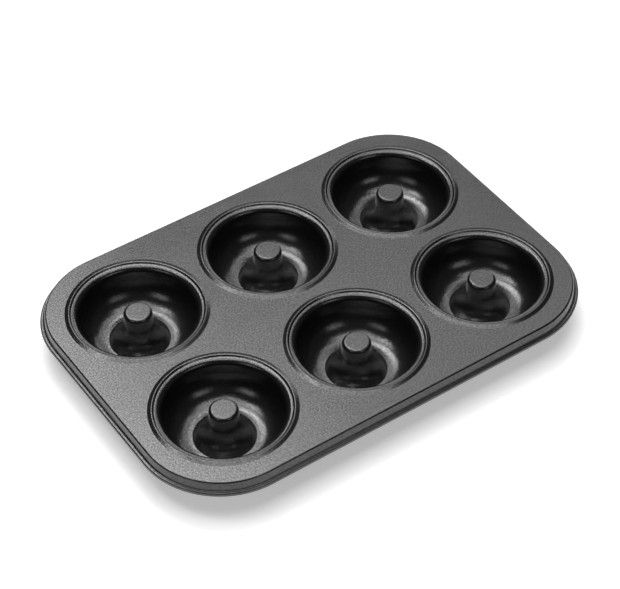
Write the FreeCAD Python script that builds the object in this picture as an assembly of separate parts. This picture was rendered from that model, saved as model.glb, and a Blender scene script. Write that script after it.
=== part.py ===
"""A doughnut pan: one pressed steel sheet with six ring-shaped cups, a short skirt and a turned lip.

The sheet's own line is drawn once through a cup and once across the rim, as corner points with bend radii.
Each line gets the sheet's thickness below it, and is then turned round the cup or carried along the rim.
+X runs along the pan's three cups, +Y across its two rows, +Z up, and the cups' undersides stand on z = 0.
"""

import FreeCAD, Part
import math
import os

from FreeCAD import Vector

# the sheet
SHEET = 0.6

# each bend below is the radius on its tighter side, and the sheet adds its own thickness on the other

# one cup, from its middle outwards
CUP_DEPTH = 21.2
PEG_TOP_R = 7.6
PEG_DROP = 0.8
PEG_DRAFT_DEG = 3.0
PEG_EDGE_BEND = 1.2
PEG_FOOT_BEND = 12.0
PEG_FLARE_DEG = 33.0
FLARE_CREASE_BEND = 0.4
FLOOR_WIDTH = 1.2
MOUTH_R = 31.7
WALL_DRAFT_DEG = 2.0
WALL_RUN = 4.9
SHOULDER_BEND = 2.5

# the raised bead round a mouth
BEAD_GAP = 0.3
BEAD_WIDTH = 3.3
BEAD_INNER_SLOPE_DEG = 48.0
BEAD_OUTER_SLOPE_DEG = 22.0
BEAD_CREST_BEND = 0.3
BEAD_FOOT_BEND = 0.5
CUP_MARGIN = 0.6

# the grid of cups and the flat deck left between and around them
CUPS_LONG = 3
CUPS_ACROSS = 2
WEB_LONG = 4.2
WEB_ACROSS = 5.2
EDGE_WEB_LONG = 8.1
EDGE_WEB_ACROSS = 8.6

# the deck's corners and its rounded edge
DECK_CORNER_R = 43.5
DECK_EDGE_BEND = 0.5
DECK_EDGE_RUN = 0.7

# the skirt and the lip round it
SKIRT_HEIGHT = 4.9
SKIRT_DRAFT_DEG = 13.8
LIP_WIDTH = 1.8
LIP_FOOT_BEND = 0.5
LIP_NOSE_BEND = 0.15
LIP_TURN_DOWN = 2.1


def reach(radius, turn_deg):
    """How far a bend of this radius and turn runs along the line on each side of its corner."""
    return radius * math.tan(math.radians(turn_deg) / 2)


# the wall's shoulder, its straight run and then the bowl's bend share the cup's depth, and the peg's
# flare ends one floor's width inside the bowl
DECK_TOP = CUP_DEPTH + SHEET
WALL_TURN_DEG = 90.0 - WALL_DRAFT_DEG
SHOULDER_REACH = reach(SHOULDER_BEND + SHEET, WALL_TURN_DEG)
WALL_LENGTH = CUP_DEPTH / math.cos(math.radians(WALL_DRAFT_DEG))
BOWL_BEND = (WALL_LENGTH - WALL_RUN - SHOULDER_REACH) / reach(1.0, WALL_TURN_DEG)
WALL_FOOT_R = MOUTH_R - CUP_DEPTH * math.tan(math.radians(WALL_DRAFT_DEG))
FLARE_R = WALL_FOOT_R - reach(BOWL_BEND, WALL_TURN_DEG) - FLOOR_WIDTH

# the bead follows the shoulder, and the cups' spacing and the deck follow the bead
BEAD_INNER_R = MOUTH_R + SHOULDER_REACH + BEAD_GAP
CUP_EDGE_R = BEAD_INNER_R + BEAD_WIDTH + CUP_MARGIN
PITCH_LONG = 2 * CUP_EDGE_R + WEB_LONG
PITCH_ACROSS = 2 * CUP_EDGE_R + WEB_ACROSS
DECK_LONG = (CUPS_LONG - 1) * PITCH_LONG + 2 * (CUP_EDGE_R + EDGE_WEB_LONG)
DECK_ACROSS = (CUPS_ACROSS - 1) * PITCH_ACROSS + 2 * (CUP_EDGE_R + EDGE_WEB_ACROSS)
DECK_MARGIN = reach(DECK_EDGE_BEND + SHEET, 90.0 - SKIRT_DRAFT_DEG) + DECK_EDGE_RUN


def turn_angle(before, corner, after):
    """The angle through which a line turns at a corner, positive to the left."""
    first = corner.sub(before)
    second = after.sub(corner)
    return math.atan2(first.x * second.z - first.z * second.x, first.dot(second))


def bent_line(points, bends):
    """Edges along the points, with an arc of its own radius at each corner between the two ends."""
    edges = []
    here = points[0]
    for before, corner, after, bend in zip(points, points[1:], points[2:], bends):
        turn = turn_angle(before, corner, after)
        back = before.sub(corner).normalize()
        ahead = after.sub(corner).normalize()
        run = reach(bend, math.degrees(abs(turn)))
        inward = back.add(ahead).normalize()
        start = corner.add(back * run)
        middle = corner.add(inward * (bend / math.cos(turn / 2) - bend))
        end = corner.add(ahead * run)
        if here.distanceToPoint(start) > 1e-7:
            edges.append(Part.LineSegment(here, start).toShape())
        edges.append(Part.Arc(start, middle, end).toShape())
        here = end
    edges.append(Part.LineSegment(here, points[-1]).toShape())
    return edges


def corner_turns(points):
    """The turn at each corner between a line's two ends."""
    return [turn_angle(before, corner, after) for before, corner, after in zip(points, points[1:], points[2:])]


def under_line(points):
    """The underside's corners: the line moved one sheet to its right."""
    headings = [after.sub(before).normalize() for before, after in zip(points, points[1:])]
    rights = [Vector(h.z, 0, -h.x) for h in headings]
    corners = [points[0].add(rights[0] * SHEET)]
    for corner, turn, right, right_after in zip(points[1:], corner_turns(points), rights, rights[1:]):
        along = right.add(right_after).normalize()
        corners.append(corner.add(along * (SHEET / math.cos(turn / 2))))
    corners.append(points[-1].add(rights[-1] * SHEET))
    return corners


def sheet_section(points, bends):
    """The face between a line on the sheet's upper side and the same line on its underside."""
    turns = corner_turns(points)
    upper_bends = [bend if turn > 0 else bend + SHEET for bend, turn in zip(bends, turns)]
    lower_bends = [bend + SHEET if turn > 0 else bend for bend, turn in zip(bends, turns)]
    low_points = under_line(points)
    upper = bent_line(points, upper_bends)
    lower = bent_line(low_points, lower_bends)
    first_end = Part.LineSegment(points[0], low_points[0]).toShape()
    last_end = Part.LineSegment(points[-1], low_points[-1]).toShape()
    return Part.Face(Part.Wire(Part.__sortEdges__(upper + lower + [first_end, last_end])))


def cup_section():
    """From the peg's middle over its edge, down its flare to the floor, up the bowl and over the bead.

    The peg's wall and its flare meet where their two straight lines cross. The sweep between them keeps its
    radius while the flare is long enough, and shrinks with a shorter one.
    """
    floor = DECK_TOP - CUP_DEPTH
    peg_top = DECK_TOP - PEG_DROP
    peg_draft = math.tan(math.radians(PEG_DRAFT_DEG))
    flare_rise = math.tan(math.radians(PEG_FLARE_DEG))
    peg_foot_r = PEG_TOP_R + (peg_top - floor) * peg_draft
    flare_height = (FLARE_R - peg_foot_r) * flare_rise / (1 - flare_rise * peg_draft)
    flare_length = flare_height / math.sin(math.radians(PEG_FLARE_DEG))
    foot_turn = 90.0 - PEG_DRAFT_DEG - PEG_FLARE_DEG
    foot_bend = min(PEG_FOOT_BEND, 0.85 * flare_length / reach(1.0, foot_turn) - SHEET)
    inner_rise = math.tan(math.radians(BEAD_INNER_SLOPE_DEG))
    outer_rise = math.tan(math.radians(BEAD_OUTER_SLOPE_DEG))
    crest_in = BEAD_WIDTH * outer_rise / (inner_rise + outer_rise)
    points = [
        Vector(0, 0, peg_top),
        Vector(PEG_TOP_R, 0, peg_top),
        Vector(peg_foot_r - flare_height * peg_draft, 0, floor + flare_height),
        Vector(FLARE_R, 0, floor),
        Vector(WALL_FOOT_R, 0, floor),
        Vector(MOUTH_R, 0, DECK_TOP),
        Vector(BEAD_INNER_R, 0, DECK_TOP),
        Vector(BEAD_INNER_R + crest_in, 0, DECK_TOP + crest_in * inner_rise),
        Vector(BEAD_INNER_R + BEAD_WIDTH, 0, DECK_TOP),
        Vector(CUP_EDGE_R, 0, DECK_TOP),
    ]
    bends = [
        PEG_EDGE_BEND,
        foot_bend,
        FLARE_CREASE_BEND,
        BOWL_BEND,
        SHOULDER_BEND,
        BEAD_FOOT_BEND,
        BEAD_CREST_BEND,
        BEAD_FOOT_BEND,
    ]
    return sheet_section(points, bends)


def cup_centres():
    """The middles of the cups, row by row."""
    return [
        Vector((i - (CUPS_LONG - 1) / 2) * PITCH_LONG, (j - (CUPS_ACROSS - 1) / 2) * PITCH_ACROSS, 0)
        for j in range(CUPS_ACROSS)
        for i in range(CUPS_LONG)
    ]


def cup():
    """One ring-shaped cup: its section turned once round its own axis."""
    return cup_section().revolve(Vector(0, 0, 0), Vector(0, 0, 1), 360)


def rounded_outline(long_side, short_side, corner_r, height):
    """A flat rounded rectangle about the origin, at a height."""
    x = long_side / 2
    y = short_side / 2
    diagonal = corner_r * math.sqrt(0.5)
    corners = [(1, 1), (-1, 1), (-1, -1), (1, -1)]
    edges = []
    ends = []
    for sx, sy in corners:
        cx = sx * (x - corner_r)
        cy = sy * (y - corner_r)
        side = Vector(sx * x, cy, height)
        crown = Vector(cx, sy * y, height)
        middle = Vector(cx + sx * diagonal, cy + sy * diagonal, height)
        first, last = (side, crown) if sx * sy > 0 else (crown, side)
        edges.append(Part.Arc(first, middle, last).toShape())
        ends.append((first, last))
    for (_, here), (there, _) in zip(ends, ends[1:] + ends[:1]):
        edges.append(Part.LineSegment(here, there).toShape())
    return Part.Face(Part.Wire(Part.__sortEdges__(edges)))


def deck():
    """The flat deck between the rim's bend and the cups' pressings."""
    inset = 2 * DECK_MARGIN
    corner_r = DECK_CORNER_R - DECK_MARGIN
    plate = rounded_outline(DECK_LONG - inset, DECK_ACROSS - inset, corner_r, DECK_TOP - SHEET)
    plate = plate.extrude(Vector(0, 0, SHEET))
    for centre in cup_centres():
        at = centre.add(Vector(0, 0, DECK_TOP - 2 * SHEET))
        plate = plate.cut(Part.makeCylinder(CUP_EDGE_R, 3 * SHEET, at))
    return plate


def rim_section():
    """From the deck over its edge, down the skirt and out over the lip; x is outwards from the deck's edge."""
    lip_top = DECK_TOP - SKIRT_HEIGHT
    skirt_foot = SKIRT_HEIGHT * math.tan(math.radians(SKIRT_DRAFT_DEG))
    lip_edge = skirt_foot + LIP_WIDTH
    points = [
        Vector(-DECK_MARGIN, 0, DECK_TOP),
        Vector(0, 0, DECK_TOP),
        Vector(skirt_foot, 0, lip_top),
        Vector(lip_edge, 0, lip_top),
        Vector(lip_edge, 0, lip_top - LIP_TURN_DOWN),
    ]
    return sheet_section(points, [DECK_EDGE_BEND, LIP_FOOT_BEND, LIP_NOSE_BEND])


def rim_side(run, distance, angle):
    """A straight stretch of rim, its length carried across and then turned round to its own side."""
    side = rim_section()
    side.translate(Vector(distance, -run / 2, 0))
    side = side.extrude(Vector(0, run, 0))
    side.rotate(Vector(0, 0, 0), Vector(0, 0, 1), angle)
    return side


def rim_corner(angle):
    """A quarter turn of the rim about one corner's centre."""
    corner = rim_section()
    corner.translate(Vector(DECK_CORNER_R, 0, 0))
    corner = corner.revolve(Vector(0, 0, 0), Vector(0, 0, 1), 90)
    corner.rotate(Vector(0, 0, 0), Vector(0, 0, 1), angle)
    x = DECK_LONG / 2 - DECK_CORNER_R
    y = DECK_ACROSS / 2 - DECK_CORNER_R
    middle = math.radians(angle + 45)
    corner.translate(Vector(math.copysign(x, math.cos(middle)), math.copysign(y, math.sin(middle)), 0))
    return corner


def rim():
    """The bent edge, skirt and lip all round the deck."""
    across = DECK_ACROSS - 2 * DECK_CORNER_R
    along = DECK_LONG - 2 * DECK_CORNER_R
    pieces = []
    for angle in (0, 90, 180, 270):
        pieces.append(rim_corner(angle))
        if angle in (0, 180):
            pieces.append(rim_side(across, DECK_LONG / 2, angle))
        else:
            pieces.append(rim_side(along, DECK_ACROSS / 2, angle))
    return pieces


def pan():
    """The whole sheet: deck, rim and cups meet edge to edge and are joined into one solid."""
    pressing = cup()
    cups = []
    for centre in cup_centres():
        placed = pressing.copy()
        placed.translate(centre)
        cups.append(placed)
    sheet = deck().multiFuse(rim() + cups)
    return sheet.removeSplitter()


def main():
    os.makedirs("parts", exist_ok=True)
    shape = pan()
    solid = shape.Solids[0]
    print("solids", len(shape.Solids), "valid", shape.isValid(), "faces", len(shape.Faces))
    print("volume cm3", round(shape.Volume / 1000, 2), "box", shape.BoundBox)
    print("pitch", round(PITCH_LONG, 3), round(PITCH_ACROSS, 3))
    print("deck", round(DECK_LONG, 3), round(DECK_ACROSS, 3))
    print("bowl bend", round(BOWL_BEND, 3), "bead inner radius", round(BEAD_INNER_R, 3))
    print("flare radius", round(FLARE_R, 3))
    solid.exportStep("parts/doughnut_pan.step")


main()
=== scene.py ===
# %% [markdown]
# # A doughnut pan
#
# The object is a baking pan pressed from one thin sheet of steel and sprayed with a dark coating. It has six
# ring-shaped cups, each round a peg that makes the hole of the doughnut. This lesson builds the pan as one
# surface, gives it its satin coating, and sets it on a white table under soft lamps.

import math

import bpy
import numpy as np
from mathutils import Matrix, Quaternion, Vector


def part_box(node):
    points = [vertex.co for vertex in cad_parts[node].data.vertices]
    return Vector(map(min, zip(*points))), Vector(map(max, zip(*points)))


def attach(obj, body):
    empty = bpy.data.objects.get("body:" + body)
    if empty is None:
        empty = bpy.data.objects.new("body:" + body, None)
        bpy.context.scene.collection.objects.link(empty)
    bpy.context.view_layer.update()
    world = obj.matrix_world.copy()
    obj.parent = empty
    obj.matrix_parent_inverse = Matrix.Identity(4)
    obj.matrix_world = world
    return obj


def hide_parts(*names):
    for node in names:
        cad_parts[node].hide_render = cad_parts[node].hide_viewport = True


MM_IN_A_METRE = 1000

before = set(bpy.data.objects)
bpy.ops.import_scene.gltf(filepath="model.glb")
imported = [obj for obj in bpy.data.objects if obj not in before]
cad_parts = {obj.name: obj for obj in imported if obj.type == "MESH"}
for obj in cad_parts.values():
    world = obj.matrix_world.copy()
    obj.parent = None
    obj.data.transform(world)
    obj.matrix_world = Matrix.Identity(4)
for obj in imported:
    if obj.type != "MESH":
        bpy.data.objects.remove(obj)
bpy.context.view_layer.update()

# %% [markdown]
# ## The pan's sizes
#
# A pressed pan is one sheet that keeps the same thickness everywhere, so its whole shape follows from one
# line drawn through a cup and one line drawn across the rim. The sizes of both lines stand here by name, in
# millimetres. Typing each point of the mesh would hide them, and a later change would then mean drawing it
# anew.

# %% Sizes of the pan, in millimetres
SHEET = 0.6

CUP_DEPTH = 21.2
PEG_TOP_R = 7.6
PEG_DROP = 0.8
PEG_DRAFT = math.radians(3.0)
PEG_EDGE_BEND = 1.2
PEG_FOOT_BEND = 12.0
PEG_FLARE = math.radians(33.0)
FLARE_CREASE_BEND = 0.4
FLOOR_WIDTH = 1.2
MOUTH_R = 31.7
WALL_DRAFT = math.radians(2.0)
WALL_RUN = 4.9
SHOULDER_BEND = 2.5

BEAD_GAP = 0.3
BEAD_WIDTH = 3.3
BEAD_INNER_SLOPE = math.radians(48.0)
BEAD_OUTER_SLOPE = math.radians(22.0)
BEAD_CREST_BEND = 0.3
BEAD_FOOT_BEND = 0.5
CUP_MARGIN = 0.6

CUPS_LONG = 3
CUPS_ACROSS = 2
WEB_LONG = 4.2
WEB_ACROSS = 5.2

DECK_CORNER_R = 43.5
DECK_EDGE_BEND = 0.5
DECK_EDGE_RUN = 0.7
SKIRT_HEIGHT = 4.9
SKIRT_DRAFT = math.radians(13.8)
LIP_WIDTH = 1.8
LIP_FOOT_BEND = 0.5
LIP_NOSE_BEND = 0.15
LIP_TURN_DOWN = 2.1

# %% Sizes that follow from the others
pan_low, pan_high = (np.array(corner) * MM_IN_A_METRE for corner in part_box("doughnut_pan"))

deck_top = CUP_DEPTH + SHEET
wall_half_turn = math.tan((math.pi / 2 - WALL_DRAFT) / 2)
shoulder_reach = (SHOULDER_BEND + SHEET) * wall_half_turn
bowl_bend = (CUP_DEPTH / math.cos(WALL_DRAFT) - WALL_RUN - shoulder_reach) / wall_half_turn
wall_foot_r = MOUTH_R - CUP_DEPTH * math.tan(WALL_DRAFT)
flare_r = wall_foot_r - bowl_bend * wall_half_turn - FLOOR_WIDTH
bead_inner_r = MOUTH_R + shoulder_reach + BEAD_GAP
cup_edge_r = bead_inner_r + BEAD_WIDTH + CUP_MARGIN
pitch = np.array([2 * cup_edge_r + WEB_LONG, 2 * cup_edge_r + WEB_ACROSS])
last_cup = np.array([CUPS_LONG, CUPS_ACROSS]) - 1

skirt_foot = SKIRT_HEIGHT * math.tan(SKIRT_DRAFT)
deck_half = pan_high[:2] - LIP_WIDTH - skirt_foot
deck_margin = (DECK_EDGE_BEND + SHEET) * math.tan((math.pi / 2 - SKIRT_DRAFT) / 2) + DECK_EDGE_RUN
flat_half = deck_half - deck_margin
flat_corner_r = DECK_CORNER_R - deck_margin
print("cups stand", pitch.round(2), "mm apart on a deck of", (2 * deck_half).round(2), "mm")

# %% [markdown]
# ## A bent line
#
# Every bend of a pressed sheet is an arc between two straight runs. A curve object with a bevel could draw
# that, but then the arcs would be approximate. Here a line is given as corner points with a radius at each
# corner, and the arcs are worked out exactly. The line also gives its own normals, which keep the flat deck's
# reflections flat right up to the bend.


# %% Helper: a line with rounded corners
def bent_line(corners, radii, steps):
    """Points and left-hand unit normals along a line whose inner corners are rounded.

    The arc at a corner starts one run before it, where run = radius x tan(half the turn). Its centre lies one
    radius to the side the line turns to, and a point on it is the centre minus the radius times the turned
    normal.
    """
    corners = np.array(corners, float)
    headings = np.diff(corners, axis=0)
    headings /= np.linalg.norm(headings, axis=1, keepdims=True)
    lefts = np.stack([-headings[:, 1], headings[:, 0]], axis=1)
    points, normals = [corners[:1]], [lefts[:1]]
    for i, (radius, count) in enumerate(zip(radii, steps)):
        turn = math.atan2(
            headings[i, 0] * headings[i + 1, 1] - headings[i, 1] * headings[i + 1, 0],
            headings[i] @ headings[i + 1],
        )
        start = corners[i + 1] - headings[i] * radius * math.tan(abs(turn) / 2)
        side = math.copysign(radius, turn)
        centre = start + lefts[i] * side
        angle = np.linspace(0.0, turn, count + 1)[:, None]
        turned = np.cos(angle) * lefts[i] + np.sin(angle) * np.array([-lefts[i, 1], lefts[i, 0]])
        points.append(centre - side * turned)
        normals.append(turned)
    points.append(corners[-1:])
    normals.append(lefts[-1:])
    return np.concatenate(points), np.concatenate(normals)


def sheet_sides(corners, bends, top_steps, under_steps):
    """The sheet's upper line, and its underside as the same line moved one sheet against its normal.

    A bend is named by its tighter side, so a hump's upper radius is the bend plus the sheet.
    """
    corners = np.array(corners, float)
    runs = np.diff(corners, axis=0)
    turns = runs[:-1, 0] * runs[1:, 1] - runs[:-1, 1] * runs[1:, 0]
    radii = np.where(turns > 0, bends, np.array(bends) + SHEET)
    top = bent_line(corners, radii, top_steps)
    points, normals = bent_line(corners, radii, under_steps)
    return top, (points - SHEET * normals, -normals)


# %% [markdown]
# ## One cup's line
#
# From its middle outwards the sheet makes the blunt peg with its sloping flare, a narrow flat ring that the
# pan stands on, the bowl, the shoulder at the mouth and the small raised bead that stiffens the mouth. The
# bowl and the shoulder share the depth of the cup, with a short straight wall between them.
#
# The peg's wall and its flare are two straight lines, r = foot radius - h x draft and r = flare radius -
# h / rise. They cross at the height h = (flare radius - foot radius) x rise / (1 - rise x draft).

# %% The line through a cup
peg_top = deck_top - PEG_DROP
floor = deck_top - CUP_DEPTH
peg_foot_r = PEG_TOP_R + (peg_top - floor) * math.tan(PEG_DRAFT)
flare_rise = math.tan(PEG_FLARE)
flare_height = (flare_r - peg_foot_r) * flare_rise / (1 - flare_rise * math.tan(PEG_DRAFT))
inner_rise, outer_rise = math.tan(BEAD_INNER_SLOPE), math.tan(BEAD_OUTER_SLOPE)
crest_in = BEAD_WIDTH * outer_rise / (inner_rise + outer_rise)
cup_corners = [
    (0.0, peg_top),
    (PEG_TOP_R, peg_top),
    (peg_foot_r - flare_height * math.tan(PEG_DRAFT), floor + flare_height),
    (flare_r, floor),
    (wall_foot_r, floor),
    (MOUTH_R, deck_top),
    (bead_inner_r, deck_top),
    (bead_inner_r + crest_in, deck_top + crest_in * inner_rise),
    (bead_inner_r + BEAD_WIDTH, deck_top),
    (cup_edge_r, deck_top),
]
cup_bends = [PEG_EDGE_BEND, PEG_FOOT_BEND, FLARE_CREASE_BEND, bowl_bend, SHOULDER_BEND]
bead_bends = [BEAD_FOOT_BEND, BEAD_CREST_BEND, BEAD_FOOT_BEND]

CUP_TOP_STEPS = [6, 8, 2, 14, 8, 2, 5, 2]
CUP_UNDER_STEPS = [3, 4, 2, 7, 4, 2, 2, 2]
cup_top, cup_under = sheet_sides(cup_corners, cup_bends + bead_bends, CUP_TOP_STEPS, CUP_UNDER_STEPS)
print("a cup's line has", len(cup_top[0]), "points above and", len(cup_under[0]), "below")

# %% [markdown]
# ## The rim's line
#
# At its edge the deck bends down into a short skirt, and the skirt ends in a narrow lip that is folded down
# so that no sharp edge is left for the hands. The cut edge itself is rounded over. The line runs down the
# outside, round the cut edge, and back up the inside.

# %% The line across the rim
lip_top = deck_top - SKIRT_HEIGHT
lip_edge = skirt_foot + LIP_WIDTH
cut_r = SHEET / 2
rim_corners = [
    (-deck_margin, deck_top),
    (0.0, deck_top),
    (skirt_foot, lip_top),
    (lip_edge, lip_top),
    (lip_edge, lip_top - LIP_TURN_DOWN + cut_r),
]
rim_bends = [DECK_EDGE_BEND, LIP_FOOT_BEND, LIP_NOSE_BEND]

RIM_TOP_STEPS = [6, 4, 5]
RIM_UNDER_STEPS = [3, 3, 3]
CUT_STEPS = 6
rim_top, rim_under = sheet_sides(rim_corners, rim_bends, RIM_TOP_STEPS, RIM_UNDER_STEPS)
cut_angle = np.linspace(0.0, -math.pi, CUT_STEPS + 1)[1:-1, None]
cut_normals = np.concatenate([np.cos(cut_angle), np.sin(cut_angle)], axis=1)
cut_centre = rim_top[0][-1] - cut_r * rim_top[1][-1]
rim_points = np.concatenate([rim_top[0], cut_centre + cut_r * cut_normals, rim_under[0][::-1]])
rim_normals = np.concatenate([rim_top[1], cut_normals, rim_under[1][::-1]])
print("the rim's line has", len(rim_points), "points")

# %% [markdown]
# ## Rays from each cup
#
# The deck between round cups is awkward for a grid. One way is to cut round holes in a plate, which leaves
# long thin triangles that catch the light. Instead each cup owns the part of the deck that is nearest to it,
# and rays run from its middle to the border of that part. Neighbours are mirror images, so their rays meet at
# the same points of the border and the surface closes without a seam.


# %% Directions of the rays
def ray_directions(step):
    """Unit vectors round a cup, with every quadrant the mirror image of the next.

    A quadrant's angles are even steps between its knots: the border's corners and the ends of the deck's
    round corner, each at the angle whose tangent is its height over its distance.
    """
    middle = pitch / 2
    edge = flat_half - pitch * last_cup / 2
    arc = edge - flat_corner_r
    corners = [
        (edge[0], arc[1]),
        (edge[0], middle[1]),
        (middle[0], middle[1]),
        (middle[0], edge[1]),
        (arc[0], edge[1]),
    ]
    knots = np.array([0.0] + [math.atan2(y, x) for x, y in corners] + [math.pi / 2])
    counts = np.maximum(1, np.round(np.diff(knots) / step)).astype(int)
    places = np.arange(counts.sum() + 1)
    quarter = np.interp(places, np.concatenate([[0], np.cumsum(counts)]), knots)
    x, y = np.cos(quarter), np.sin(quarter)
    x[-1] = y[0] = 0.0
    half_x = np.concatenate([x, -x[-2::-1]])
    half_y = np.concatenate([y, y[-2::-1]])
    whole_x = np.concatenate([half_x, half_x[-2:0:-1]])
    whole_y = np.concatenate([half_y, -half_y[-2:0:-1]])
    return np.stack([whole_x, whole_y], axis=1)


RAY_STEP = math.radians(2.5)
rays = ray_directions(RAY_STEP)
print("each cup has", len(rays), "rays")

# %% How far each ray runs
SAME_LENGTH = 1e-9


def distance_to_outline(centre, rays):
    """Distance along each ray to the flat deck's rounded outline.

    It is the nearer of the side lines, and where that point lies past both inner sides, the positive root of
    distance squared from the corner's centre = corner radius squared.
    """
    with np.errstate(divide="ignore", invalid="ignore"):
        to_sides = (np.sign(rays) * flat_half - centre) / rays
    distance = np.min(np.where(np.isfinite(to_sides), to_sides, np.inf), axis=1)
    point = centre + rays * distance[:, None]
    inner = flat_half - flat_corner_r
    in_corner = np.all(np.abs(point) > inner + SAME_LENGTH, axis=1)
    offset = centre - np.sign(point) * inner
    along = np.sum(offset * rays, axis=1)
    rest = along**2 - np.sum(offset**2, axis=1) + flat_corner_r**2
    return np.where(in_corner, -along + np.sqrt(np.maximum(rest, 0.0)), distance)


def distance_to_neighbours(place, rays):
    """Distance along each ray to the line half way to the next cup on that side, or no limit without one."""
    has_next = np.where(rays > 0, place < last_cup, place > 0)
    with np.errstate(divide="ignore"):
        half_way = np.abs(pitch / 2 / rays)
    return np.min(np.where(has_next, half_way, np.inf), axis=1)


# %% [markdown]
# ## Surfaces from lines
#
# A cup is its line turned round its axis, and the rim is its line carried along the deck's outline. Both are
# grids: one index runs along the line, the other round the pan. The modifiers Screw and Array could do the
# turning and the copying, but plain arrays keep the exact normals and let the neighbours share their border
# points. Each grid is kept with a note of whether it is an upper side, because an underside has its faces
# turned over.

# %% Cups and the deck around them
DECK_RING_SHARES = np.array([0.5, 1.0])[:, None]


def cup_and_deck(centre, reach, line, line_normals, level, up):
    """A grid of rings round a cup: point = centre + ray x radius, at the line's height.

    The last rings leave the line and step evenly over the flat deck to the end of each ray.
    """
    deck_rings = cup_edge_r + (reach - cup_edge_r) * DECK_RING_SHARES
    rings = np.concatenate([np.repeat(line[:, :1], len(rays), axis=1), deck_rings])
    heights = np.concatenate([line[:, 1], [level] * len(deck_rings)])
    slopes = np.concatenate([line_normals, [(0.0, up)] * len(deck_rings)])
    points = np.empty(rings.shape + (3,))
    points[..., :2] = centre + rings[..., None] * rays
    points[..., 2] = heights[:, None]
    normals = np.empty_like(points)
    normals[..., :2] = slopes[:, None, :1] * rays
    normals[..., 2] = slopes[:, None, 1]
    return points, normals, up > 0


surfaces, outline = [], []
for row in range(CUPS_ACROSS):
    for column in range(CUPS_LONG):
        place = np.array([column, row])
        centre = (place - last_cup / 2) * pitch
        to_outline = distance_to_outline(centre, rays)
        to_neighbours = distance_to_neighbours(place, rays)
        reach = np.minimum(to_outline, to_neighbours)
        surfaces.append(cup_and_deck(centre, reach, *cup_top, deck_top, 1.0))
        surfaces.append(cup_and_deck(centre, reach, *cup_under, deck_top - SHEET, -1.0))
        outline.append((centre + rays * reach[:, None])[to_outline <= to_neighbours + SAME_LENGTH])
print("made", len(surfaces), "grids of", surfaces[0][0].shape[:2], "and", surfaces[1][0].shape[:2])

# %% The rim round the deck
SAME_PLACE = 1e-6

outline = np.concatenate(outline)
outline = outline[np.argsort(np.arctan2(outline[:, 1], outline[:, 0]))]
step = np.linalg.norm(outline - np.roll(outline, 1, axis=0), axis=1)
outline = outline[step > SAME_PLACE]
inner = np.clip(outline, -(flat_half - flat_corner_r), flat_half - flat_corner_r)
outwards = (outline - inner) / np.linalg.norm(outline - inner, axis=1, keepdims=True)
along = rim_points[:, 0] + deck_margin
points = np.empty((len(rim_points), len(outline), 3))
points[..., :2] = outline + along[:, None, None] * outwards
points[..., 2] = rim_points[:, 1, None]
normals = np.empty_like(points)
normals[..., :2] = rim_normals[:, None, :1] * outwards
normals[..., 2] = rim_normals[:, None, 1]
surfaces.append((points, normals, True))
print("the rim has", len(outline), "columns")

# %% [markdown]
# ## One closed skin
#
# The grids touch along their borders. Points that lie in the same place become one point, so the mesh is a
# single closed skin like the real sheet. Each point keeps the normal that its line gave it.

# %% Helper: grids to one mesh
MERGE_CELL = 1e-4
CELL_SHIFT = 0.37


def welded_mesh(name, grids):
    """One mesh from grids that close in their second index, with points in the same place merged.

    Two points are the same when they fall into the same cell of a fine lattice. The lattice is shifted by an
    odd share of a cell, so that the pan's round numbers don't fall on a border between two cells.
    """
    faces, start = [], 0
    for points, _, is_upper in grids:
        rows, columns = points.shape[:2]
        index = start + np.arange(rows * columns).reshape(rows, columns)
        after = np.roll(index, -1, axis=1)
        quads = np.stack([index[:-1], index[1:], after[1:], after[:-1]], axis=-1).reshape(-1, 4)
        faces.append(quads if is_upper else quads[:, ::-1])
        start += rows * columns
    points = np.concatenate([grid[0].reshape(-1, 3) for grid in grids])
    normals = np.concatenate([grid[1].reshape(-1, 3) for grid in grids])
    cells = np.floor(points / MERGE_CELL + CELL_SHIFT).astype(np.int64)
    _, first, same = np.unique(cells, axis=0, return_index=True, return_inverse=True)
    faces = same.reshape(-1)[np.concatenate(faces)]
    pinched = faces[:, 0] == faces[:, 3]
    pinched_back = faces[:, 0] == faces[:, 1]
    pinched_under = faces[:, 2] == faces[:, 3]
    quads = faces[~(pinched | pinched_back | pinched_under)]
    triangles = [faces[pinched][:, :3], faces[pinched_back][:, 1:], faces[pinched_under][:, :3]]
    mesh = bpy.data.meshes.new(name)
    places = (points[first] / MM_IN_A_METRE).tolist()
    mesh.from_pydata(places, [], quads.tolist() + np.concatenate(triangles).tolist())
    mesh.polygons.foreach_set("use_smooth", np.ones(len(mesh.polygons), bool))
    mesh.normals_split_custom_set_from_vertices(normals[first].tolist())
    return mesh


# %% Helper: a new object
def in_scene(name, data):
    """A new object in the scene, which stands at the origin and isn't turned."""
    made = bpy.data.objects.new(name, data)
    bpy.context.scene.collection.objects.link(made)
    return made


# %% The pan
pan = in_scene("pan_sheet", welded_mesh("pan_sheet", surfaces))
uses = np.zeros(len(pan.data.edges), int)
edge_of_corner = np.zeros(len(pan.data.loops), int)
pan.data.loops.foreach_get("edge_index", edge_of_corner)
np.add.at(uses, edge_of_corner, 1)
triangle_count = sum(len(face.vertices) - 2 for face in pan.data.polygons)
print("the pan has", triangle_count, "triangles and", int((uses != 2).sum()), "open edges")

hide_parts("doughnut_pan")
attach(pan, "root")

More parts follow.
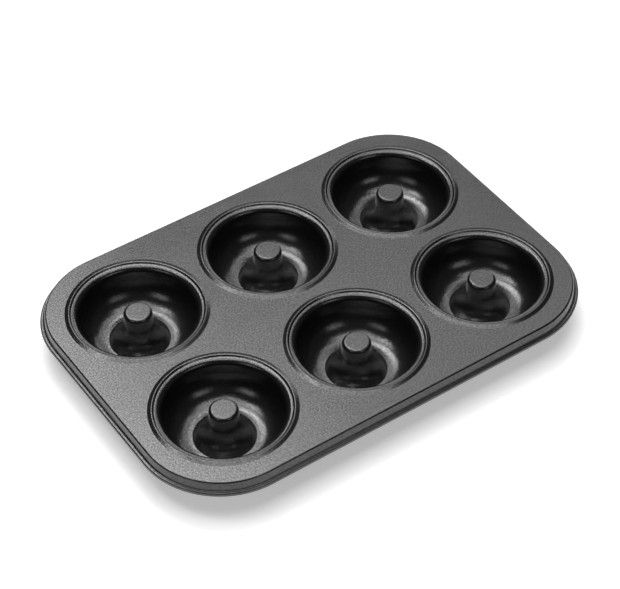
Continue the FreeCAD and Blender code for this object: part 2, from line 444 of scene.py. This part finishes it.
# %% [markdown]
# ## The coating
#
# The steel is sprayed with a dark non-stick coating and baked. It is nearly black by itself. What the eye
# sees as grey is the satin surface mirroring the lamps, which is why the deck looks grey and the insides of
# the cups look black. Painting the deck grey would look right from one side only.
#
# The spray dries into fine specks, which stand a little higher or lower under a thinner or thicker clear
# film, and the film decides how strongly a speck mirrors. Here one fine noise gives each speck its height,
# its film and its shade. A second noise, in wide patches, makes the surface a little smoother or rougher, so
# that no reflection is quite even. From here on, lengths are in Blender's own unit, the metre.

# %% Node group: the grain of a sprayed coating
GRAIN_SCALE = 1100.0
GRAIN_DETAIL = 2.0
PATCH_SCALE = 45.0
PATCH_DETAIL = 1.0
SHADE_SPAN = (0.3, 0.7)
FILM_SPAN = (0.38, 0.62)
PATCH_SPAN = (0.35, 0.65)
COATING_RANGES = {"Dark": 0.004, "Light": 0.008, "Smooth": 0.18, "Rough": 0.24, "Thin": 0.0, "Thick": 0.7}


def coating_group():
    """Colour, roughness, film and height of a sprayed coating, from two sizes of noise on its position."""
    group = bpy.data.node_groups.new("sprayed_coating", "ShaderNodeTree")
    sockets = group.interface
    sockets.new_socket("Position", in_out="INPUT", socket_type="NodeSocketVector")
    for name, value in COATING_RANGES.items():
        sockets.new_socket(name, in_out="INPUT", socket_type="NodeSocketFloat").default_value = value
    sockets.new_socket("Colour", in_out="OUTPUT", socket_type="NodeSocketColor")
    for name in ("Roughness", "Film", "Height"):
        sockets.new_socket(name, in_out="OUTPUT", socket_type="NodeSocketFloat")
    nodes, link = group.nodes, group.links.new
    given = nodes.new("NodeGroupInput")
    made = nodes.new("NodeGroupOutput")

    def noise(scale, detail):
        """A noise whose cells are one over its scale across, in metres."""
        texture = nodes.new("ShaderNodeTexNoise")
        texture.inputs["Scale"].default_value = scale
        texture.inputs["Detail"].default_value = detail
        link(given.outputs["Position"], texture.inputs["Vector"])
        return texture.outputs["Fac"]

    def spread(source, span, low, high, result):
        """Puts out low + (high - low) x the share of its span that the source has reached."""
        ranged = nodes.new("ShaderNodeMapRange")
        ranged.inputs["From Min"].default_value, ranged.inputs["From Max"].default_value = span
        link(source, ranged.inputs["Value"])
        link(given.outputs[low], ranged.inputs["To Min"])
        link(given.outputs[high], ranged.inputs["To Max"])
        link(ranged.outputs["Result"], made.inputs[result])

    grain = noise(GRAIN_SCALE, GRAIN_DETAIL)
    patches = noise(PATCH_SCALE, PATCH_DETAIL)
    spread(grain, SHADE_SPAN, "Dark", "Light", "Colour")
    spread(grain, FILM_SPAN, "Thin", "Thick", "Film")
    spread(patches, PATCH_SPAN, "Smooth", "Rough", "Roughness")
    link(grain, made.inputs["Height"])
    return group


# %% Material: the satin coating
PAINT_MIRROR = 0.66
FILM_ROUGHNESS = 0.21
GRAIN_HEIGHT = 0.00008

coating = bpy.data.materials.new("satin_coating")
coating.use_nodes = True
nodes, link = coating.node_tree.nodes, coating.node_tree.links.new
shader = nodes["Principled BSDF"]
shader.inputs["Specular IOR Level"].default_value = PAINT_MIRROR
shader.inputs["Coat Roughness"].default_value = FILM_ROUGHNESS
position = nodes.new("ShaderNodeTexCoord")
spray = nodes.new("ShaderNodeGroup")
spray.node_tree = coating_group()
bump = nodes.new("ShaderNodeBump")
bump.inputs["Strength"].default_value = 1.0
bump.inputs["Distance"].default_value = GRAIN_HEIGHT
link(position.outputs["Object"], spray.inputs["Position"])
link(spray.outputs["Colour"], shader.inputs["Base Color"])
link(spray.outputs["Roughness"], shader.inputs["Roughness"])
link(spray.outputs["Film"], shader.inputs["Coat Weight"])
link(spray.outputs["Height"], bump.inputs["Height"])
link(bump.outputs["Normal"], shader.inputs["Normal"])
pan.data.materials.append(coating)
print("the coating's grain is about", round(MM_IN_A_METRE / GRAIN_SCALE, 2), "mm across")

# %% [markdown]
# ## The table
#
# The pan stands on a plain white table. A white surface under lamps this weak would look pale grey, and
# brighter lamps would spoil the pan. So the table glows a little, but only where the camera or a mirror sees
# it. It then looks white, its glow casts no light, and the soft shadow under the rim stays.

# %% The table
TABLE_RADIUS = 6.0
TABLE_CORNERS = 64
TABLE_GAP = 0.0001


def round_table(level):
    """A flat disc: its points are its centre plus a ring of cosines and sines times its radius."""
    angle = np.linspace(0.0, 2 * math.pi, TABLE_CORNERS, endpoint=False)
    x, y = TABLE_RADIUS * np.cos(angle), TABLE_RADIUS * np.sin(angle)
    mesh = bpy.data.meshes.new("table")
    ring = np.stack([x, y, np.full(TABLE_CORNERS, level)], axis=1)
    mesh.from_pydata(ring.tolist(), [], [list(range(TABLE_CORNERS))])
    return mesh


table = in_scene("table", round_table(float(pan_low[2]) / MM_IN_A_METRE - TABLE_GAP))
print("the table is", 2 * TABLE_RADIUS, "m across")


# %% Material: the white table
def seen_by_eye_or_mirror(nodes, link):
    """One where a ray comes from the camera or was mirrored or passed through glass, and nought elsewhere."""
    path = nodes.new("ShaderNodeLightPath")
    mirrored = nodes.new("ShaderNodeMath")
    mirrored.operation = "MAXIMUM"
    link(path.outputs["Is Camera Ray"], mirrored.inputs[0])
    link(path.outputs["Is Glossy Ray"], mirrored.inputs[1])
    seen = nodes.new("ShaderNodeMath")
    seen.operation = "MAXIMUM"
    link(mirrored.outputs[0], seen.inputs[0])
    link(path.outputs["Is Transmission Ray"], seen.inputs[1])
    return seen.outputs[0]


WHITE = (1.0, 1.0, 1.0, 1.0)
TABLE_WHITE = (0.88, 0.88, 0.88, 1.0)
TABLE_ROUGHNESS = 0.9
TABLE_MIRROR = 0.1
TABLE_GLOW = 0.38

table_white = bpy.data.materials.new("white_table")
table_white.use_nodes = True
nodes, link = table_white.node_tree.nodes, table_white.node_tree.links.new
matt = nodes["Principled BSDF"]
matt.inputs["Base Color"].default_value = TABLE_WHITE
matt.inputs["Roughness"].default_value = TABLE_ROUGHNESS
matt.inputs["Specular IOR Level"].default_value = TABLE_MIRROR
matt.inputs["Emission Color"].default_value = WHITE
glow = nodes.new("ShaderNodeMath")
glow.operation = "MULTIPLY"
glow.inputs[1].default_value = TABLE_GLOW
link(seen_by_eye_or_mirror(nodes, link), glow.inputs[0])
link(glow.outputs[0], matt.inputs["Emission Strength"])
table.data.materials.append(table_white)

# %% [markdown]
# ## Light
#
# The coating mirrors whatever stands around it, so the sizes and places of the lamps draw nearly all that is
# seen of the pan. Three lamps high behind it draw the bright ring round the foot of each peg. The flat deck
# mirrors the two back lamps below them, of which the left one is brighter, so the deck fades to the right. A
# low wide lamp and one overhead brighten the bends of the sheet, and two lamps at the sides draw the soft
# spots on the far walls of the cups. One even bright room would turn the insides of the cups grey, so the
# room is dim.


# %% Helper: a soft lamp
def soft_lamp(name, azimuth, elevation, distance, size, radiance):
    """A rectangular lamp that faces the middle of the deck.

    Its power = radiance x width x height x pi, so that its face shines with the given radiance.
    """
    turned, raised = math.radians(azimuth), math.radians(elevation)
    level = math.cos(raised)
    away = Vector((math.sin(turned) * level, math.cos(turned) * level, math.sin(raised)))
    data = bpy.data.lights.new(name, "AREA")
    data.shape = "RECTANGLE"
    data.size, data.size_y = size
    data.energy = radiance * size[0] * size[1] * math.pi
    lamp = in_scene(name, data)
    lamp.location = Vector((0.0, 0.0, deck_top / MM_IN_A_METRE)) + away * distance
    lamp.rotation_mode = "QUATERNION"
    lamp.rotation_quaternion = away.to_track_quat("Z", "Y")


# %% The lamps: name, degrees from the back towards the right, degrees up, distance, size, radiance
LAMPS = (
    ("key_lamp", 16.0, 60.0, 2.0, (0.80, 0.36), 9.5),
    ("left_lamp", -40.0, 60.0, 2.0, (0.65, 0.45), 5.2),
    ("right_lamp", 66.0, 60.0, 2.0, (0.50, 0.40), 2.5),
    ("back_left_lamp", 10.0, 48.0, 2.0, (0.60, 0.42), 6.0),
    ("back_right_lamp", 44.0, 47.0, 2.0, (0.90, 0.42), 2.0),
    ("low_lamp", 42.0, 25.0, 2.2, (1.60, 0.85), 1.8),
    ("top_lamp", 0.0, 87.0, 2.1, (1.60, 1.40), 3.1),
    ("left_side_lamp", -102.0, 31.0, 2.2, (0.90, 0.65), 1.4),
    ("right_side_lamp", 172.0, 31.0, 2.2, (0.90, 0.65), 1.5),
)
for lamp_values in LAMPS:
    soft_lamp(*lamp_values)
print("the pan stands under", len(LAMPS), "lamps")

# %% The room around
ROOM_STRENGTH = 0.06

world = bpy.data.worlds.new("dim_room")
bpy.context.scene.world = world
world.use_nodes = True
room = world.node_tree.nodes["Background"]
room.inputs["Color"].default_value = WHITE
room.inputs["Strength"].default_value = ROOM_STRENGTH

# %% [markdown]
# ## Camera
#
# The camera looks down at the pan's near left corner from well back, which keeps the far cups nearly as large
# as the near ones. It is turned a hair about its line of sight.

# %% The camera
CAMERA_PLACE = Vector((-0.4247, -0.6160, 0.7713))
CAMERA_TARGET = Vector((-0.00098, -0.00035, 0.0218))
CAMERA_ROLL = math.radians(-0.086)
CAMERA_FILM_WIDTH = 36.0
CAMERA_LENS = 116.23
CAMERA_NEAREST, CAMERA_FARTHEST = 0.05, 50.0

camera = in_scene("camera", bpy.data.cameras.new("camera"))
camera.data.sensor_fit = "HORIZONTAL"
camera.data.sensor_width = CAMERA_FILM_WIDTH
camera.data.lens = CAMERA_LENS
camera.data.clip_start, camera.data.clip_end = CAMERA_NEAREST, CAMERA_FARTHEST
camera.location = CAMERA_PLACE
camera.rotation_mode = "QUATERNION"
sight = (CAMERA_TARGET - CAMERA_PLACE).to_track_quat("-Z", "Y")
camera.rotation_quaternion = sight @ Quaternion((0.0, 0.0, 1.0), CAMERA_ROLL)
bpy.context.scene.camera = camera
bpy.context.scene.view_settings.view_transform = "Standard"
print("the camera is", round((CAMERA_TARGET - CAMERA_PLACE).length, 2), "m away")

# %% Bring the scene up to date
bpy.context.view_layer.update()
